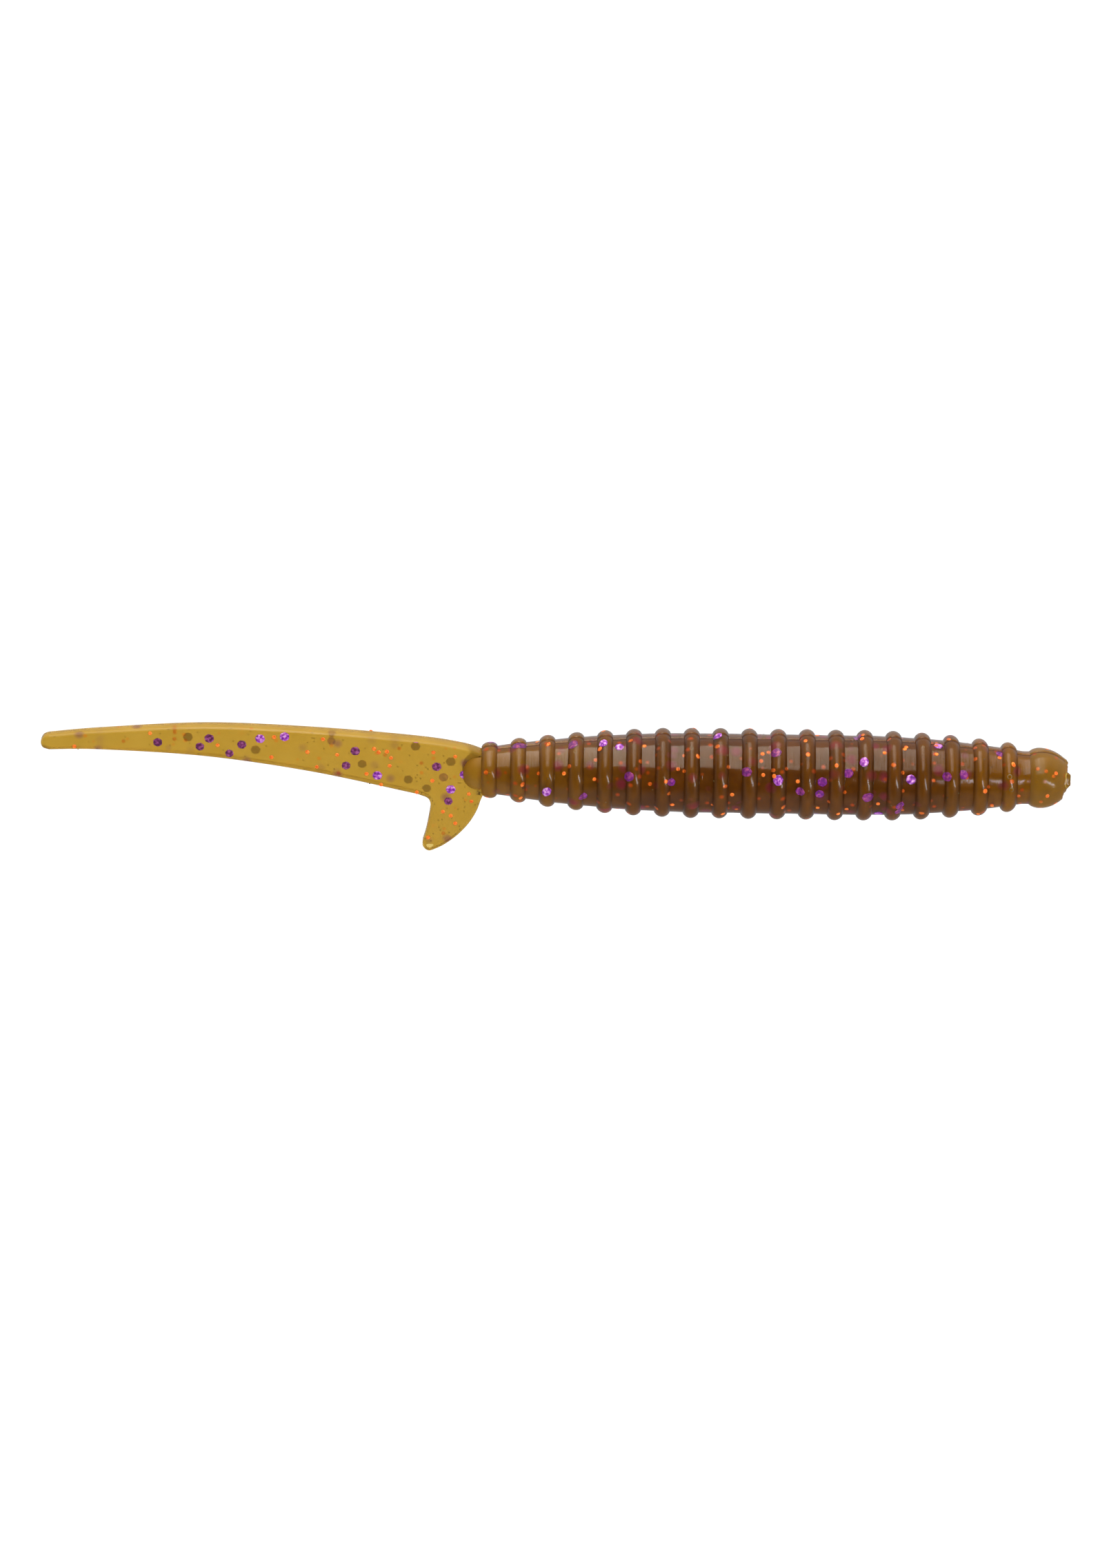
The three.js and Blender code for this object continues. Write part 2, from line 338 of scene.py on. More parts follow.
def painted_rib_foot_shade(nodes, x):
    """The painted shade at a rib's feet, by the distance of x from the nearest rib's middle."""
    step = nodes.maths("WRAP", nodes.maths("SUBTRACT", x, FIRST_RIB_X), -PITCH / 2, PITCH / 2)
    return nodes.ramp(nodes.maths("ABSOLUTE", step), RIB_FOOT_PAINTED_SHADE)


def painted_seam_shade(nodes, v, w):
    """The painted shade beside the seam, by the distance of w from the seam, and only far enough out in v."""
    away = nodes.maths("ABSOLUTE", nodes.maths("SUBTRACT", w, SEAM_MIDDLE))
    inside = nodes.maths("SUBTRACT", SEAM_INSIDE, nodes.maths("ABSOLUTE", v))
    away = nodes.maths("ADD", away, nodes.maths("MAXIMUM", inside, 0.0))
    return nodes.ramp(away, SEAM_PAINTED_SHADE)


def soft_plastic(
    name, dark, light, transmission, streaks, lumps, coat, roughness=0.2, rib=False, seam=False, glitter=()
):
    """Tinted clear soft plastic, with a little of the light scattered at once.
    streaks and lumps are the heights, in millimetres, of the mould's turning marks and of its unevenness.
    coat is the weight of its wet-looking surface. With seam, a line beside the parting line gets painted
    shade; with rib, a rib's feet get painted shade."""
    nodes = Nodes(name)
    rest = nodes.rest()
    shader = nodes.shader
    colour = nodes.ramp(nodes.noise(rest, 0.35, 3), list(zip(CLOUD, (dark, light))))
    split = nodes.add("ShaderNodeSeparateXYZ", Vector=rest)
    # Painted shade at a rib's feet.
    if rib:
        colour = nodes.tinted(colour, painted_rib_foot_shade(nodes, split.outputs["X"]))
    # Painted shade in a line beside the parting line.
    if seam:
        colour = nodes.tinted(colour, painted_seam_shade(nodes, split.outputs["Y"], split.outputs["Z"]))
    nodes.set(shader, "Base Color", blurred_glitter(nodes, colour, glitter))
    nodes.set(shader, "Roughness", roughness)
    nodes.set(shader, "IOR", PLASTIC_IOR)
    nodes.set(shader, "Specular IOR Level", 0.4)
    nodes.set(shader, "Transmission Weight", transmission)
    glossy_coat(nodes, coat)
    marks = nodes.maths("MULTIPLY", nodes.noise(nodes.scaled(rest, TURNING_MARKS), 1.0, 2, 0.6), streaks)
    unevenness = nodes.maths("MULTIPLY", nodes.noise(rest, 0.9, 2), lumps)
    normal = nodes.bump(nodes.maths("ADD", marks, unevenness), MM)
    nodes.set(shader, "Normal", normal)
    nodes.set(shader, "Coat Normal", normal)
    return nodes.material


# A foil's first colour is painted shade in its creases, its second its own colour and its third a painted
# glint.
FOIL_SHADE_AND_GLINT_LEVELS = (0.37, 0.52, 0.68)  # levels of the noise at which a foil has each of its three colours
CREASE_HEIGHT = 0.05  # of a foil, in millimetres


def foil(name, colours, painted_glow, grain):
    """Crumpled film, in colours from painted shade in its creases to a painted glint on its faces.
    painted_glow is painted light: in part its dye's fluorescence, in part light that shows it through the
    tinted plastic.
    """
    nodes = Nodes(name)
    shade = nodes.noise(nodes.rest(), grain, 2)
    nodes.set(nodes.shader, "Base Color", nodes.ramp(shade, list(zip(FOIL_SHADE_AND_GLINT_LEVELS, colours))))
    nodes.set(nodes.shader, "Metallic", 0.1)
    nodes.set(nodes.shader, "Roughness", 0.3)
    # The painted glow: the film shines with painted light, in part its dye's fluorescence.
    nodes.set(nodes.shader, "Emission Color", (*colours[1], 1))
    nodes.set(nodes.shader, "Emission Strength", painted_glow)
    creases = nodes.noise(nodes.rest(), 4.5, 2)
    nodes.set(nodes.shader, "Normal", nodes.bump(creases, CREASE_HEIGHT * MM))
    return nodes.material


def dull_solid(name, dark, light, scale):
    nodes = Nodes(name)
    shade = nodes.noise(nodes.rest(), scale, 3)
    nodes.set(nodes.shader, "Base Color", nodes.ramp(shade, list(zip(CLOUD, (dark, light)))))
    nodes.set(nodes.shader, "Roughness", 0.7)
    return nodes.material


# Glitter deeper in the plastic: spots per millimetre, radius, share of the places that hold one, and tint.
DEEP_PURPLE_SPOTS = (0.62, 0.34, 0.45, (0.42, 0.05, 0.22))
DEEP_COPPER_SPOTS = (1.0, 0.22, 0.45, (1.0, 0.16, 0.005))
TAIL_PURPLE_SPOTS = (0.55, 0.27, 0.3, (0.30, 0.13, 0.10))
TAIL_COPPER_SPOTS = (0.9, 0.2, 0.3, (0.75, 0.25, 0.02))
SPOT_EDGE = (0.5, 1.3)  # shares of a spot's radius between which it fades
SPOT_STRENGTH = 0.85


def blurred_glitter(nodes, colour, kinds):
    """The colour with soft round spots on it: the glitter deeper in the cloudy plastic."""
    for scale, size, share, tint in kinds:
        spots = nodes.add("ShaderNodeTexVoronoi", Vector=nodes.rest(), Scale=scale)
        fade = [(size * SPOT_EDGE[0], (1, 1, 1)), (size * SPOT_EDGE[1], (0, 0, 0))]
        near = nodes.ramp(spots.outputs["Distance"], fade)
        split = nodes.add("ShaderNodeSeparateColor", Color=spots.outputs["Color"])
        chosen = nodes.maths("LESS_THAN", split.outputs[0], share)
        amount = nodes.maths("MULTIPLY", nodes.maths("MULTIPLY", near, chosen), SPOT_STRENGTH)
        colour = nodes.add("ShaderNodeMixRGB", Fac=amount, Color1=colour, Color2=(*tint, 1)).outputs[0]
    return colour


DEEP_DARK, DEEP_LIGHT = (0.19, 0.070, 0.004), (0.27, 0.105, 0.006)
# The dense plastic is paler where the body thins, towards its tail and its nose: from x, to x, tint.
THIN_ENDS = (
    (LAST_RIB_X + 15, LAST_RIB_X - 2, (0.52, 0.30, 0.035)),
    (FIRST_RIB_X - 9, FIRST_RIB_X + 3.2, (0.48, 0.25, 0.01)),
)
THIN_TINT = 0.85  # share of the tint at the far x
RANGE_SOCKETS = ("From Min", "From Max", "To Min", "To Max")


def deep_plastic(name, glitter):
    """The dense plastic under the clear skin."""
    nodes = Nodes(name)
    rest = nodes.rest()
    colour = nodes.ramp(nodes.noise(rest, 0.4, 3), list(zip(CLOUD, (DEEP_DARK, DEEP_LIGHT))))
    along_x = nodes.add("ShaderNodeSeparateXYZ", Vector=rest).outputs["X"]
    for solid_x, thin_x, tint in THIN_ENDS:
        thin = nodes.add("ShaderNodeMapRange", Value=along_x)
        for socket, value in zip(RANGE_SOCKETS, (solid_x, thin_x, 0.0, THIN_TINT)):
            thin.inputs[socket].default_value = value
        mix = nodes.add("ShaderNodeMixRGB", Fac=thin.outputs["Result"], Color1=colour, Color2=(*tint, 1))
        colour = mix.outputs[0]
    nodes.set(nodes.shader, "Base Color", blurred_glitter(nodes, colour, glitter))
    nodes.set(nodes.shader, "Roughness", 0.8)
    nodes.set(nodes.shader, "Specular IOR Level", 0.0)
    return nodes.material


# seam=True gives a line of painted shade beside the parting line.
groove_skin = soft_plastic(
    "groove_plastic", dark=(0.68, 0.51, 0.21), light=(0.74, 0.56, 0.25),
    transmission=0.988, streaks=0.028, lumps=0.02, coat=0.9, seam=True,
)
# rib=True gives the ribs painted shade at their feet.
rib_skin = soft_plastic(
    "rib_plastic", dark=(0.68, 0.50, 0.16), light=(0.74, 0.55, 0.19),
    transmission=0.97, streaks=0.003, lumps=0.02, coat=0.4, seam=True, rib=True,
)
nose_skin = soft_plastic(
    "nose_plastic", dark=(0.62, 0.44, 0.09), light=(0.68, 0.50, 0.12),
    transmission=0.88, streaks=0.02, lumps=0.03, coat=0.45, seam=True,
)
bubble_skin = soft_plastic(
    "bubble_plastic", dark=(0.50, 0.35, 0.12), light=(0.62, 0.46, 0.20),
    transmission=0.5, streaks=0.0, lumps=0.02, coat=0.6,
)
end_skin = soft_plastic(
    "body_end_plastic", dark=(0.42, 0.20, 0.01), light=(0.47, 0.23, 0.013),
    transmission=0.3, streaks=0.0, lumps=0.02, coat=0.1, roughness=0.5,
)
tail_skin = soft_plastic(
    "tail_plastic", dark=(0.58, 0.36, 0.042), light=(0.63, 0.40, 0.055),
    transmission=0.55, streaks=0.0, lumps=0.02, coat=0.45, glitter=(TAIL_PURPLE_SPOTS, TAIL_COPPER_SPOTS),
)
core_stuff = deep_plastic("deep_plastic", glitter=(DEEP_PURPLE_SPOTS, DEEP_COPPER_SPOTS))
nose_core_stuff = deep_plastic("deep_nose_plastic", glitter=(DEEP_COPPER_SPOTS,))

# Each foil: painted crease shade, its own colour and a painted glint, with a painted glow.
purple_foil = foil(
    "purple_glitter", ((0.12, 0.01, 0.26), (0.50, 0.09, 0.68), (1.0, 0.60, 0.95)), painted_glow=0.12, grain=3.5
)
sunk_purple_foil = foil(
    "sunk_purple_glitter", ((0.09, 0.008, 0.5), (0.36, 0.04, 0.9), (0.8, 0.25, 1.0)), painted_glow=0.35, grain=3.5
)
copper_foil = foil(
    "copper_glitter", ((0.70, 0.09, 0.01), (1.0, 0.21, 0.02), (1.0, 0.36, 0.05)), painted_glow=0.3, grain=5
)
dark_fleck = dull_solid("dark_fleck", (0.12, 0.07, 0.012), (0.24, 0.13, 0.02), 3)
dull_purple_foil = foil(
    "dull_purple_glitter", ((0.10, 0.02, 0.07), (0.27, 0.05, 0.20), (0.55, 0.16, 0.42)), painted_glow=0.05, grain=3.5
)
FLAKE_MATERIALS = [purple_foil, copper_foil, dark_fleck, sunk_purple_foil, dull_purple_foil]
PURPLE, COPPER, DARK, SUNK_PURPLE, DULL_PURPLE = range(len(FLAKE_MATERIALS))

# ---------------------------------------------------------------- body skin
AROUND = 120  # even steps round the body
SEAM_ANGLES = (0.008, 0.016, 0.026, 0.038)  # further steps on each side of a parting line, in radians
PARTING_HEIGHT = 0.05
PARTING_WIDTH = 0.09
PARTING_STEP = 0.035  # the half of the worm behind the blade stands out more
STEP_WIDTH, STEP_REACH = 0.05, 0.8  # of that step: how sharp it is, and how far it fades out
WOBBLES = ((0.012, 3, 0.9), (0.008, 5, -2.3))  # of the round section: height, waves round it, turn per mm


def angles_around():
    """Angles round the body from its back, with more of them beside the two parting lines."""
    angles = {round(2 * math.pi * i / AROUND, 6) for i in range(AROUND)}
    for line in (0, math.pi):
        for step in SEAM_ANGLES:
            for side in (-1, 1):
                angles.add(round((line + side * step) % (2 * math.pi), 6))
    return sorted(angles)


ANGLES = angles_around()


def skin_point(x, radius, angle):
    """A point of the skin, with the parting line's small ridge and step."""
    from_parting = math.sin(angle) * radius
    ridge = PARTING_HEIGHT * math.exp(-((from_parting / PARTING_WIDTH) ** 2))
    fade = math.exp(-((from_parting / STEP_REACH) ** 2))
    step = -PARTING_STEP * math.tanh(from_parting / STEP_WIDTH) * fade
    wobble = sum(height * math.sin(waves * angle + x * turn) for height, waves, turn in WOBBLES)
    reach = radius + ridge + step + wobble
    return (x, reach * math.cos(angle), reach * math.sin(angle))


def turned_skin(name, profile, material, cap_start=False, cap_end=False, shape=None):
    """A skin of revolution through (x, radius) points, which go towards the tail. Shape moves its points."""
    vertices = [skin_point(x, radius, angle) for x, radius in profile for angle in ANGLES]
    count = len(ANGLES)
    faces = []
    for row in range(len(profile) - 1):
        for i in range(count):
            a = row * count + i
            b = row * count + (i + 1) % count
            faces.append((a, a + count, b + count, b))
    if cap_start:
        centre = len(vertices)
        vertices.append((profile[0][0], 0, 0))
        for i in range(count):
            faces.append((i, (i + 1) % count, centre))
    if cap_end:
        x, _ = profile[-1]
        centre = len(vertices)
        vertices.append((x, 0, 0))
        last = (len(profile) - 1) * count
        for i in range(count):
            faces.append((last + (i + 1) % count, last + i, centre))
    if shape:
        vertices = [shape(*vertex) for vertex in vertices]
    return add_object(name, vertices, faces, [material])


def rib_profile(number):
    """A rib's section, from its front foot over its crown to its back foot."""
    centre, height = rib_x(number), rib_height(number)
    steps = 22
    points = []
    for i in range(steps + 1):
        turn = math.pi * i / steps
        x = centre + RIB_HALF_WIDTH * math.cos(turn)
        points.append((x, core_radius(x) + height * math.sin(turn) ** (2 * RIB_CROWN)))
    return points


def groove_profile(front_x, back_x):
    steps = 8
    points = []
    for i in range(steps + 1):
        x = front_x + (back_x - front_x) * i / steps
        points.append((x, core_radius(x)))
    return points


for number in range(1, RIBS + 1):
    rib = turned_skin(f"rib_skin_{number:02d}", rib_profile(number), rib_skin)
    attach(rib, ring_bodies[number])
    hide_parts(f"ring_{number:02d}")

for number in range(1, RIBS + 1):
    groove = turned_skin(f"groove_skin_{number:02d}", groove_profile(*groove_feet(number)), groove_skin)
    blend_over_groove(groove, number)

# ---------------------------------------------------------------- nose
NECK_RADIUS = core_radius(FIRST_RIB_X + PITCH / 2)
BULB_SHAPE = [  # distance from the neck, radius
    (0, NECK_RADIUS), (0.35, 2.84), (0.9, 2.98), (1.6, 2.94), (2.3, 2.74), (2.9, 2.42), (3.4, 2.04),
    (3.6, 1.86),
]
FRONT_SHAPE = [
    (3.7, 1.8), (3.75, 1.7), (3.72, 1.54), (3.63, 1.4), (3.6, 1.2), (3.6, 1.0), (3.6, 0.7), (3.6, 0.35),
]
LIP_ANGLE, LIP_SPREAD = math.radians(72), math.radians(32)  # where the torn lip of the gate is
LIP_TOP = 0.35  # share of the spread over which the lip has its full height
LIP_HEIGHT = NOSE_X - NECK_END_X - 3.72  # from the rim to the nose's end
LIP_FLARE = 0.06  # share by which the lip leans out
FRONT_SLANT = 0.35  # the cut front falls back this far below the lip
# The rim's raggedness, in and out of the cut: height, waves round it, phase.
RAGGED_RIM = ((0.035, 7, 1), (0.03, 13, 2), (0.02, 23, 0))
bulb_curve = curve_through(BULB_SHAPE, 5)


def bulb_radius(x):
    return float(np.interp(x - NECK_END_X, [p[0] for p in bulb_curve], [p[1] for p in bulb_curve]))


def torn_front(x, v, w):
    """The cut front of the nose: a ragged rim, and the lip that was left where the plastic was poured."""
    out = smooth(NECK_END_X + 3.3, NECK_END_X + 3.65, x)
    angle, radius = math.atan2(w, v), math.hypot(v, w)
    ragged = sum(height * math.sin(waves * angle + phase) for height, waves, phase in RAGGED_RIM)
    ragged *= smooth(1.2, 1.6, radius)
    from_lip = abs((angle - LIP_ANGLE + math.pi) % math.tau - math.pi)
    lip = smooth(LIP_SPREAD, LIP_SPREAD * LIP_TOP, from_lip) * smooth(0.9, 1.3, radius)
    scale = 1 + out * (LIP_FLARE * lip + 0.012 * math.sin(9 * angle))
    across = v * math.cos(ROLL) - w * math.sin(ROLL)
    slant = FRONT_SLANT * smooth(0.6, 1.9, -across)
    return (min(NOSE_X, x + out * (ragged + LIP_HEIGHT * lip - slant)), v * scale, w * scale)


nose_rows = [(NECK_END_X + along, radius) for along, radius in bulb_curve + FRONT_SHAPE]
nose_rows.reverse()
nose = turned_skin("nose_skin", nose_rows, nose_skin, cap_start=True, shape=torn_front)
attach(nose, "nose")
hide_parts("nose")

# ---------------------------------------------------------------- deep plastic under the skin
SKIN_DEPTH = 0.28  # of clear plastic over the dense plastic
RIB_FILL = 0.6  # share of a rib's height that the dense plastic fills
DEEP_RIB_WIDTH = 0.9  # share of a rib's width
DEEP_CROWN = 1.5  # like RIB_CROWN: its ribs rise with no corner at their feet


def nearest_rib(x):
    return min(RIBS, max(1, round((FIRST_RIB_X - x) / PITCH) + 1))


def skin_radius(x):
    """Radius of the body's surface at x, over ribs and grooves."""
    number = nearest_rib(x)
    offset = (x - rib_x(number)) / RIB_HALF_WIDTH
    return core_radius(x) + rib_height(number) * max(0, 1 - offset * offset) ** RIB_CROWN


def deep_radius(x):
    """The dense plastic fills the ribs too, with softer shapes."""
    number = nearest_rib(x)
    offset = (x - rib_x(number)) / (RIB_HALF_WIDTH * DEEP_RIB_WIDTH)
    rise = RIB_FILL * rib_height(number) * max(0, 1 - offset * offset) ** DEEP_CROWN
    return core_radius(x) - SKIN_DEPTH + rise


def core_shape(name, profile, material, close_front=False, close_back=False):
    """A plain round piece of the dense plastic, through (x, radius) points."""
    around = 48
    vertices = []
    for x, radius in profile:
        for i in range(around):
            angle = 2 * math.pi * i / around
            vertices.append((x, radius * math.cos(angle), radius * math.sin(angle)))
    faces = []
    rows = len(profile) - 1
    for row in range(rows):
        for i in range(around):
            a = row * around + i
            b = row * around + (i + 1) % around
            faces.append((a, a + around, b + around, b))
    if close_front:
        faces.append(tuple(range(around)))
    if close_back:
        faces.append(tuple(reversed(range(rows * around, (rows + 1) * around))))
    return add_object(name, vertices, faces, [material])


CORE_STEPS = 24  # along one piece

for number in range(1, RIBS + 1):
    front, back = length_ends(number)
    profile = []
    for i in range(CORE_STEPS + 1):
        x = front + (back - front) * i / CORE_STEPS
        profile.append((x, deep_radius(x)))
    deep_body = core_shape(f"deep_body_{number:02d}", profile, core_stuff, close_back=number == RIBS)
    blend_over_groove(deep_body, number)

NOSE_CORE_LENGTH = 3.5
NOSE_SKIN_EXTRA = 0.08  # the clear skin is this much thicker round the bulb than at the neck
NOSE_CORE_SQUARE = 20  # the higher, the squarer its front
nose_core = []
for i in range(CORE_STEPS + 1):
    share = 1 - i / CORE_STEPS
    x = NECK_END_X + NOSE_CORE_LENGTH * share
    skin = SKIN_DEPTH + NOSE_SKIN_EXTRA * smooth(0, 0.3, share)
    rounding = math.sqrt(max(0, 1 - share**NOSE_CORE_SQUARE))
    nose_core.append((x, max(0.05, (bulb_radius(x) - skin) * rounding)))
deep_nose = core_shape("deep_nose", nose_core, nose_core_stuff, close_front=True)
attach(deep_nose, "nose")

# ---------------------------------------------------------------- tail: outline
ROOT_FRONT_X = LAST_RIB_X - RIB_HALF_WIDTH + 0.25  # tucked into the last rib
# Its edges as (x, v), from the blade's root along its back, round its tip and back along its belly, and
# down and up again round the fin.
BACK_EDGE = [
    (ROOT_FRONT_X, 2.0), (-9.2, 2.72), (-14.0, 3.44), (-24.2, 4.24), (-34.5, 4.57), (-44.7, 3.92),
    (-50.0, 3.36),
]
TIP = [(-50.0, 3.36), (-50.5, 3.14), (TAIL_X, 2.58), (-50.62, 2.0), (-50.0, 1.76)]
BELLY_EDGE = [
    (-50.0, 1.76), (-44.7, 1.86), (-34.5, 1.32), (-24.2, -0.16), (-14.7, -2.25), (-13.3, -2.62),
    (-12.6, -2.95), (-12.33, -3.55), (-12.4, -4.6), (-12.75, -6.6), (-13.1, -7.9),
]
FIN_TIP = [(-13.1, -7.9), (-13.1, -8.35), (-12.82, -8.75), (-12.4, -8.9), (-11.9, -8.72)]
FIN_FRONT = [
    (-11.9, -8.72), (-10.9, -8.15), (-9.6, -7.05), (-8.5, -5.7), (-7.75, -4.3), (-7.35, -3.1),
    (ROOT_FRONT_X, -2.4),
]
FIN_TOP, FIN_END = -3.2, -8.8  # the fin thins between these
FIN_THINNING = 0.22
RIM_INSET = 0.12  # flat strip inside the rounded edges
RIM_ARC = 8  # steps round a quarter of an edge


def tail_outline():
    """The outline of blade and fin as (x, v) points, anticlockwise."""
    parts = [
        curve_through(BACK_EDGE, 14),
        curve_through(TIP, 4),
        curve_through(BELLY_EDGE, 10),
        curve_through(FIN_TIP, 4),
        curve_through(FIN_FRONT, 6),
    ]
    points = []
    for part in parts:
        for point in part:
            if not points or math.dist(points[-1], point) > 0.02:
                points.append(point)
    return points


def inward_normals(points):
    """Unit normals into an outline that runs anticlockwise."""
    count = len(points)
    normals = []
    for i in range(count):
        before, after = points[i - 1], points[(i + 1) % count]
        along = Vector((after[0] - before[0], after[1] - before[1])).normalized()
        normals.append((-along.y, along.x))
    return normals


def fin_thinning(v):
    """The fin is thinner towards its tip."""
    return 1 - FIN_THINNING * smooth(FIN_TOP, FIN_END, v) if v < FIN_TOP else 1


def plate_mesh():
    """The whole blade and fin as one plate with rounded edges, in millimetres (x, v, w)."""
    outline = tail_outline()
    normals = inward_normals(outline)
    rings = [(RIM + RIM_INSET, math.pi / 2)]
    for i in range(2 * RIM_ARC + 1):
        turn = math.pi / 2 * (1 - i / RIM_ARC)
        rings.append((RIM * (1 - math.cos(turn)), turn))
    rings.append((RIM + RIM_INSET, -math.pi / 2))
    bm = bmesh.new()
    loops = []
    for inset, turn in rings:
        loop = []
        for (x, v), (nx, nv) in zip(outline, normals):
            px, pv = x + nx * inset, v + nv * inset
            half = blade_thickness(px) / 2 * fin_thinning(pv)
            w = math.copysign(half - RIM, turn) + RIM * math.sin(turn) if turn else 0
            loop.append(bm.verts.new((px, pv, w)))
        loops.append(loop)
    count = len(outline)
    for upper, lower in zip(loops, loops[1:]):
        for i in range(count):
            k = (i + 1) % count
            bm.faces.new((upper[i], upper[k], lower[k], lower[i]))
    for loop in (loops[0], loops[-1]):
        edges = [bm.edges.get((loop[i], loop[(i + 1) % count])) for i in range(count)]
        bmesh.ops.triangle_fill(bm, edges=edges, use_beauty=True)
    bmesh.ops.recalc_face_normals(bm, faces=bm.faces)
    return bm


# Sections of the tail plate: a cut just behind the fin, and one at the middle of each bending length but
# the last.
ROOT_CUT = -13.45
blade_middles = [sum(box_mm(body)[i][0] for i in (0, 1)) / 2 for body in blade_bodies[1:-1]]
tail_cuts = [ROOT_CUT, *blade_middles]
HINGE_REACH = 2.2  # at most this far on each side of its hinge: the span passed on with each section; nothing here bends it
FIN_BEND_X, FIN_BEND_TOP, FIN_BEND_END = -10, -2.6, -3.9  # where the fin bends away from the blade root
CROSS_STEPS = (0.5, 0.6)  # between the edges across the plate, along x and v


def cut_between(bm, low_x, high_x):
    """A copy of the plate, between two places. None leaves that side whole."""
    piece = bm.copy()
    for x, normal in ((low_x, -1), (high_x, 1)):
        if x is None:
            continue
        geometry = piece.verts[:] + piece.edges[:] + piece.faces[:]
        bmesh.ops.bisect_plane(
            piece, geom=geometry, plane_co=(x, 0, 0), plane_no=(normal, 0, 0), clear_outer=True, dist=1e-5
        )
    return piece


def add_cross_edges(bm, axis, step):
    """Edges across the flat faces every step, so that the plate would bend smoothly."""
    values = [vertex.co[axis] for vertex in bm.verts]
    place_at = math.ceil(min(values) / step) * step
    normal = [0, 0, 0]
    normal[axis] = 1
    while place_at < max(values):
        point = [0, 0, 0]
        point[axis] = place_at
        geometry = bm.verts[:] + bm.edges[:] + bm.faces[:]
        bmesh.ops.bisect_plane(bm, geom=geometry, plane_co=point, plane_no=normal, dist=1e-5)
        place_at += step


def plate_piece(name, bm, material):
    """A tail piece from a cut plate, which it uses up."""
    for axis, step in enumerate(CROSS_STEPS):
        add_cross_edges(bm, axis, step)
    index = {vertex: i for i, vertex in enumerate(bm.verts)}
    vertices = [tuple(vertex.co) for vertex in bm.verts]
    faces = [tuple(index[vertex] for vertex in face.verts) for face in bm.faces]
    bm.free()
    return add_object(name, vertices, faces, [material])


def blend_over_fin_root(piece):
    top, end = place(FIN_BEND_X, FIN_BEND_TOP, 0), place(FIN_BEND_X, FIN_BEND_END, 0)
    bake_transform(piece)
    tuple(top)
    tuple(end)


def blend_over_hinge(piece, number):
    hinge = joint_x(wag_names[number - 1])
    reach = min(HINGE_REACH, tail_cuts[number - 1] - hinge)
    blend_along_x(piece, blade_bodies[number - 1], blade_bodies[number], hinge + reach, hinge - reach)


whole_plate = plate_mesh()
root_plate = plate_piece("tail_root_skin", cut_between(whole_plate, ROOT_CUT, None), tail_skin)
blend_over_fin_root(root_plate)
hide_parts("keel_fin")
for number in range(1, BLADE_LENGTHS + 1):
    low = tail_cuts[number] if number < BLADE_LENGTHS else None
    plate = cut_between(whole_plate, low, tail_cuts[number - 1])
    section = plate_piece(f"blade_skin_{number}", plate, tail_skin)
    blend_over_hinge(section, number)
    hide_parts(f"tail_blade_{number}")
whole_plate.free()

# The body's rounded end, which stands out of both faces of the blade root.
DOME_SQUARE = 0.8  # 1 for a round end, and less for a squarer one
DOME_FRONT_X = LAST_RIB_X - RIB_HALF_WIDTH + 0.1
DOME_STEPS = 12
dome_profile = []
for i in range(DOME_STEPS + 1):
    turn = math.pi / 2 * i / DOME_STEPS
    out_x, out_r = math.sin(turn) ** DOME_SQUARE, math.cos(turn) ** DOME_SQUARE
    dome_profile.append((DOME_FRONT_X - DOME_LENGTH * out_x, max(0.01, DOME_RADIUS * out_r)))
dome = turned_skin("body_end_skin", dome_profile, end_skin, cap_end=True)
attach(dome, "tail_root")
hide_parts("tail_root")

# ---------------------------------------------------------------- glitter
PURPLE_SIZE, COPPER_SIZE, FLECK_SIZE = 0.95, 0.43, 0.16  # across, in millimetres
SIZE_SPREAD = (0.9, 1.06)  # of those sizes
FOIL_THICK = 0.03
FLAKE_ROUND = 0.5  # 0 for a sharp hexagon and 1 for a disc
# On the body: kind, size, flakes per square millimetre, share at the surface.
BODY_FLAKES = (
    (PURPLE, PURPLE_SIZE, 0.05, 0.6),
    (COPPER, COPPER_SIZE, 0.15, 0.65),
    (DARK, FLECK_SIZE, 0.08, 0.5),
)
SUNK = (0.05, 0.2)  # a flake under the clear skin lies this far above the dense plastic
NOSE_FLAKES = 14
NOSE_FLAKE_SIZE = COPPER_SIZE * 0.9
NOSE_FLAKE_PLACES = (0.6, 2.8)  # from the neck
# In the tail: kind, size, number of flakes.
TAIL_FLAKES = ((PURPLE, PURPLE_SIZE, 24), (COPPER, COPPER_SIZE, 36), (DARK, FLECK_SIZE, 90))
TAIL_LEVELS = (1, 1, 1, 0.9, -1)  # in the blade, from -1 at its back face to 1 at its front one
TAIL_FLECK_LEVELS = (0.5, 0.95)
DULL_SHARE = 0.75  # of the tail's purple flakes
TAIL_LOW_V, TAIL_HIGH_V = -9, 5  # the tail lies between these
FIN_FLAKE_END = -4.0  # purple flakes stay above this, out of the narrow fin
FLAKE_SPACING = 0.62  # least distance of two flakes, as a share of the sum of their sizes


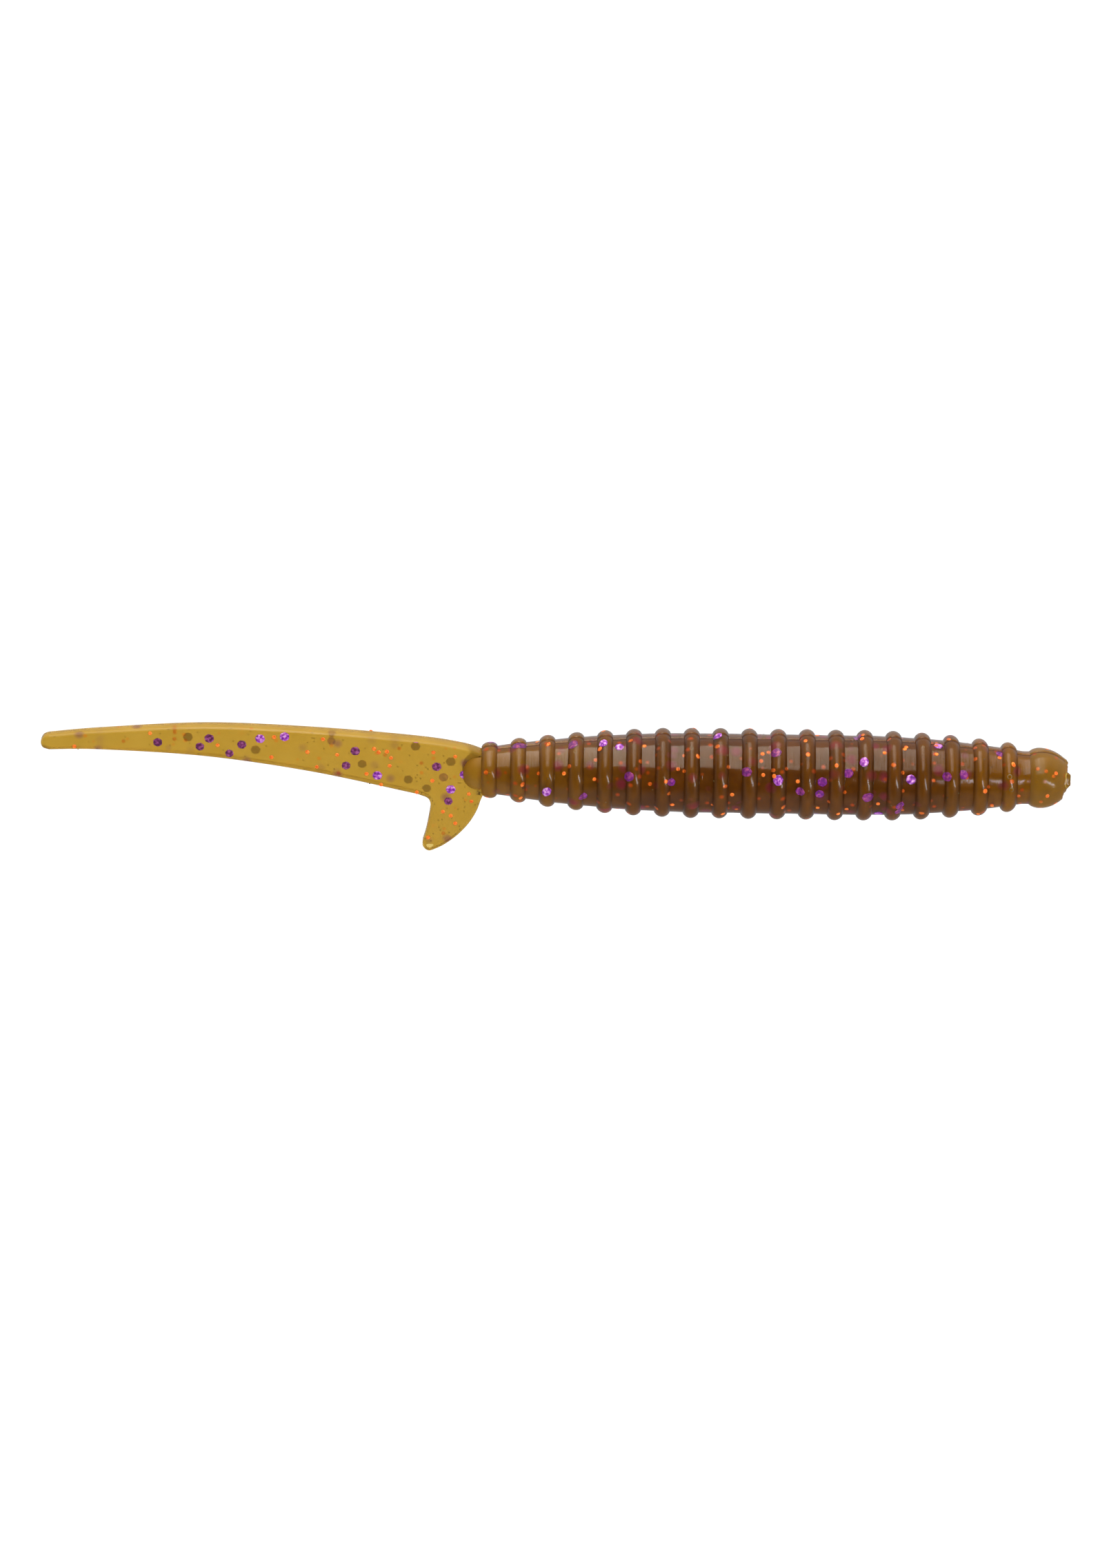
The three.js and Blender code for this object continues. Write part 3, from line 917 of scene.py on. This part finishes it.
class Flakes:
    """Thin hexagonal flakes gathered into one mesh. Each lies on a surface: a function of (x, along)."""

    def __init__(self):
        self.vertices = []
        self.faces = []
        self.kinds = []

    def add(self, surface, x, along, size, kind):
        """A flake with its middle at (x, along). A large one has more rows, to follow a curved surface."""
        rows = 3 if size > 0.6 else 2 if size > 0.3 else 1
        turn = rng.uniform(0, math.tau)
        spots = [(0, 0)]
        rings = [[0]]
        for row in range(1, rows + 1):
            ring = []
            for side in range(6):
                for k in range(row):
                    a, b = (math.tau * (side + step) / 6 + turn for step in (0, 1))
                    share = k / row
                    # distance of the hexagon's side from its middle, as a share of its corner's
                    flat = math.cos(math.pi / 6) / math.cos(math.pi * (share - 0.5) / 3)
                    reach = size / 2 * row / rows * (1 + FLAKE_ROUND * (1 / flat - 1))
                    ring.append(len(spots))
                    spots.append((
                        reach * (math.cos(a) * (1 - share) + math.cos(b) * share),
                        reach * (math.sin(a) * (1 - share) + math.sin(b) * share),
                    ))
            rings.append(ring)
        triangles = []
        for row in range(1, rows + 1):
            inner, outer = rings[row - 1], rings[row]
            for side in range(6):
                for k in range(row):
                    at = outer[side * row + k]
                    after = outer[(side * row + k + 1) % len(outer)]
                    below = inner[(side * (row - 1) + k) % len(inner)]
                    triangles.append((at, after, below))
                    if k:
                        triangles.append((at, below, inner[side * (row - 1) + k - 1]))
        first, count = len(self.vertices), len(spots)
        for height in (FOIL_THICK / 2, -FOIL_THICK / 2):
            for dx, dv in spots:
                self.vertices.append(surface(x + dx, along + dv, height))
        for a, b, c in triangles:
            self.faces.append((first + a, first + b, first + c))
            self.faces.append((first + count + c, first + count + b, first + count + a))
        rim = rings[-1]
        for i, a in enumerate(rim):
            b = rim[(i + 1) % len(rim)]
            self.faces.append((first + b, first + a, first + count + a, first + count + b))
        self.kinds += [kind] * (len(self.faces) - len(self.kinds))

    def piece(self, name):
        made = add_object(name, self.vertices, self.faces, FLAKE_MATERIALS)
        made.data.polygons.foreach_set("material_index", self.kinds)
        return made


def on_body(radius_at, lift):
    """A surface round the body, lift above radius_at(x). Along is the way round it, in millimetres."""

    def surface(x, along, height):
        angle = along / core_radius(x)
        radius = radius_at(x) + lift + height
        return (x, radius * math.cos(angle), radius * math.sin(angle))

    return surface


def body_flakes(number, front_x, back_x):
    """Glitter between two places on the body: some lies at its surface and the rest under the clear skin."""
    flakes = Flakes()
    around = math.tau * core_radius((front_x + back_x) / 2)
    area = around * (front_x - back_x)
    for kind, size, density, share_out in BODY_FLAKES:
        wanted = density * area
        amount = int(wanted) + (rng.random() < wanted % 1)
        for _ in range(amount):
            x = rng.uniform(back_x, front_x)
            along = rng.uniform(0, around)
            from_foot = min(abs(abs(x - rib_x(near)) - RIB_HALF_WIDTH) for near in (number - 1, number))
            if rng.random() < share_out and from_foot > size / 2 * 0.9:
                surface = on_body(skin_radius, 0.0)
                dyed = kind
            else:
                surface = on_body(deep_radius, rng.uniform(*SUNK))
                dyed = SUNK_PURPLE if kind == PURPLE else kind
            flakes.add(surface, x, along, size * rng.uniform(*SIZE_SPREAD), dyed)
    return flakes


for number in range(1, RIBS + 1):
    glitter = body_flakes(number, *length_ends(number)).piece(f"body_glitter_{number:02d}")
    blend_over_groove(glitter, number)

# Rims of the little air bubbles that broke through the ribs: rib, degrees round it from its back, size.
BUBBLES = [
    (1, 62, 0.42), (1, 84, 0.4), (4, 21, 0.26), (7, 50, 0.2), (12, 30, 0.34), (13, 70, 0.2), (16, 33, 0.3),
]
BUBBLE_OFF_CROWN = 0.1  # the bubbles sit this far to the front or the back of a rib's crown, by turns


def bubble_rim(centre, outward, size):
    """A small ring of plastic round a bubble, thicker on one side: its vertices and faces."""
    around, section = 20, 8
    outward = Vector(outward).normalized()
    side = outward.orthogonal().normalized()
    across = outward.cross(side)
    thickness = size * 0.13
    vertices = []
    for i in range(around):
        turn = math.tau * i / around
        reach = side * math.cos(turn) + across * math.sin(turn)
        tube = thickness * (0.75 + 0.35 * math.sin(turn + 1) + 0.2 * math.sin(3 * turn))
        for k in range(section):
            roll = math.tau * k / section
            from_middle = reach * (size / 2 + tube * math.cos(roll))
            vertices.append(tuple(Vector(centre) + from_middle + outward * tube * math.sin(roll)))
    faces = []
    for i in range(around):
        for k in range(section):
            a, b = i * section, (i + 1) % around * section
            after = (k + 1) % section
            faces.append((a + k, b + k, b + after, a + after))
    return vertices, faces


for index, (number, degrees, size) in enumerate(BUBBLES, start=1):
    angle = math.radians(degrees)
    outward = (0, math.cos(angle), math.sin(angle))
    x = rib_x(number) + BUBBLE_OFF_CROWN * (-1) ** index
    reach = skin_radius(x) - 0.01
    vertices, faces = bubble_rim((x, reach * outward[1], reach * outward[2]), outward, size)
    rim = add_object(f"bubble_{index}", vertices, faces, [bubble_skin])
    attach(rim, ring_bodies[number])

nose_flakes = Flakes()
for i in range(NOSE_FLAKES):
    surface = on_body(bulb_radius, 0.0 if i % 2 else -SKIN_DEPTH)
    x = NECK_END_X + rng.uniform(*NOSE_FLAKE_PLACES)
    nose_flakes.add(surface, x, rng.uniform(0, math.tau * NECK_RADIUS), NOSE_FLAKE_SIZE, COPPER)
nose_glitter = nose_flakes.piece("nose_glitter")
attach(nose_glitter, "nose")


def inside_outline(x, v, outline, margin):
    """True if (x, v) is inside the outline by at least the margin."""
    inside = False
    nearest = math.inf
    count = len(outline)
    for i in range(count):
        (x1, v1), (x2, v2) = outline[i], outline[(i + 1) % count]
        if (v1 > v) != (v2 > v) and x < (x2 - x1) * (v - v1) / (v2 - v1) + x1:
            inside = not inside
        nearest = min(nearest, math.dist((x, v), (x1, v1)))
    return inside and nearest >= margin


def on_blade(level):
    """A surface in the blade: level goes from -1 at its back face to 1 at its front one."""

    def surface(x, along, height):
        half = blade_thickness(x) / 2 * fin_thinning(along)
        return (x, along, level * half + height)

    return surface


outline = tail_outline()
spots = []
for kind, size, amount in TAIL_FLAKES:
    made = 0
    while made < amount:
        x = TAIL_X + (ROOT_FRONT_X - TAIL_X) * rng.random() ** 0.7  # more of them towards the root
        v = rng.uniform(TAIL_LOW_V, TAIL_HIGH_V)
        crowded = any(math.dist((x, v), spot[:2]) < (size + spot[3]) * FLAKE_SPACING for spot in spots)
        if crowded or not inside_outline(x, v, outline, size / 2 + 0.1):
            continue
        if kind == PURPLE and v < FIN_FLAKE_END:
            continue
        made += 1
        level = rng.uniform(*TAIL_FLECK_LEVELS) if kind == DARK else rng.choice(TAIL_LEVELS)
        spots.append((x, v, level, size, kind))

for number in range(BLADE_LENGTHS + 1):
    high = tail_cuts[number - 1] if number else math.inf
    low = tail_cuts[number] if number < BLADE_LENGTHS else -math.inf
    flakes = Flakes()
    for x, v, level, size, kind in spots:
        if low <= x < high:
            dyed = DULL_PURPLE if kind == PURPLE and rng.random() < DULL_SHARE else kind
            flakes.add(on_blade(level), x, v, size * rng.uniform(*SIZE_SPREAD), dyed)
    glitter = flakes.piece(f"tail_glitter_{number}")
    if number:
        blend_over_hinge(glitter, number)
    else:
        blend_over_fin_root(glitter)

# ---------------------------------------------------------------- floor and backdrop, in metres
HALF_FLOOR = 2.0
HALF_ROOM = 1.8
WHITE_GLOW = 1.1  # emission of the floor and the backdrop, just past white


def white_stage(name, vertices, faces, base_colour, **shader_values):
    """A glowing white object of the studio."""
    mesh = bpy.data.meshes.new(name)
    mesh.from_pydata(vertices, [], faces)
    nodes = Nodes(name)
    nodes.set(nodes.shader, "Base Color", base_colour)
    nodes.set(nodes.shader, "Emission Color", (1, 1, 1, 1))
    nodes.set(nodes.shader, "Emission Strength", WHITE_GLOW)
    for socket, value in shader_values.items():
        nodes.set(nodes.shader, socket.replace("_", " "), value)
    mesh.materials.append(nodes.material)
    made = bpy.data.objects.new(name, mesh)
    bpy.context.scene.collection.objects.link(made)
    return made


floor_corners = [(x * HALF_FLOOR, y * HALF_FLOOR, 0) for x, y in ((-1, -1), (1, -1), (1, 1), (-1, 1))]
floor = white_stage("floor", floor_corners, [(0, 1, 2, 3)], (0.3, 0.3, 0.3, 1), Roughness=0.9)
floor.visible_glossy = False  # the plastic mirrors the studio and not the floor, as it does on a light table
floor.visible_camera = False  # it lights the plastic from below, and a tail bent below it still shows

ends = (-HALF_ROOM, HALF_ROOM)
room_corners = [(x, y, z) for x in ends for y in ends for z in ends]
room_walls = [(0, 1, 3, 2), (4, 6, 7, 5), (0, 4, 5, 1), (2, 3, 7, 6), (0, 2, 6, 4), (1, 5, 7, 3)]
backdrop = white_stage("backdrop", room_corners, room_walls, (0, 0, 0, 1), Specular_IOR_Level=0.0)
for kind in ("diffuse", "glossy", "transmission", "volume_scatter", "shadow"):
    setattr(backdrop, f"visible_{kind}", False)  # it is only the white behind the picture
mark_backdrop(floor, backdrop)

# ---------------------------------------------------------------- sky and lights, in metres
# The sky's brightness by direction: from, to, and what it is there. Overhead it is dark, and it is
# brighter on the softboxes' side.
SKY_UP = (0.3, 0.7, 1.0, 0.0)
SKY_SIDE = (-0.6, 0.6, 0.2, 0.5)

world = bpy.data.worlds.new("world")
world.use_nodes = True
sky = world.node_tree
background = sky.nodes["Background"]
background.inputs["Color"].default_value = (1, 1, 1, 1)
generated = sky.nodes.new("ShaderNodeTexCoord").outputs["Generated"]
direction = sky.nodes.new("ShaderNodeSeparateXYZ")
sky.links.new(generated, direction.inputs[0])
fade = sky.nodes.new("ShaderNodeMapRange")
fade.interpolation_type = "SMOOTHSTEP"
side = sky.nodes.new("ShaderNodeMapRange")
both = sky.nodes.new("ShaderNodeMath")
both.operation = "MULTIPLY"
for index, (node, axis, values) in enumerate(((fade, "Z", SKY_UP), (side, "Y", SKY_SIDE))):
    for socket, value in zip(RANGE_SOCKETS, values):
        node.inputs[socket].default_value = value
    sky.links.new(direction.outputs[axis], node.inputs["Value"])
    sky.links.new(node.outputs["Result"], both.inputs[index])
sky.links.new(both.outputs[0], background.inputs["Strength"])
bpy.context.scene.world = world


def area_light(name, size, location, power, colour=(1, 1, 1)):
    """A rectangular light that faces the middle of the worm."""
    data = bpy.data.lights.new(name, "AREA")
    data.shape = "RECTANGLE"
    data.size, data.size_y = size
    data.energy = power
    data.color = colour
    light = bpy.data.objects.new(name, data)
    bpy.context.scene.collection.objects.link(light)
    light.location = location
    light.rotation_mode = "QUATERNION"
    light.rotation_quaternion = (-Vector(location)).to_track_quat("-Z", "Y")
    return light


WARM = (1.0, 0.92, 0.76)
area_light("softbox", size=(0.66, 1.1), location=(-0.04, 0.57, 0.46), power=5.2, colour=WARM)
area_light("softbox_middle", size=(0.17, 1.0), location=(-0.06, 0.54, 0.44), power=1.2, colour=WARM)
fill = area_light("fill", size=(1.2, 0.3), location=(0, -0.62, 0.14), power=1.8)
fill.visible_glossy = False  # it would show as a second band of highlights
area_light("small_light", size=(0.12, 0.55), location=(0.46, -0.256, 0.60), power=2.1)

boxes = {"cad": cad_bounds, "visual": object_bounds()}
{name: [list(corner) for corner in box] for name, box in boxes.items()}
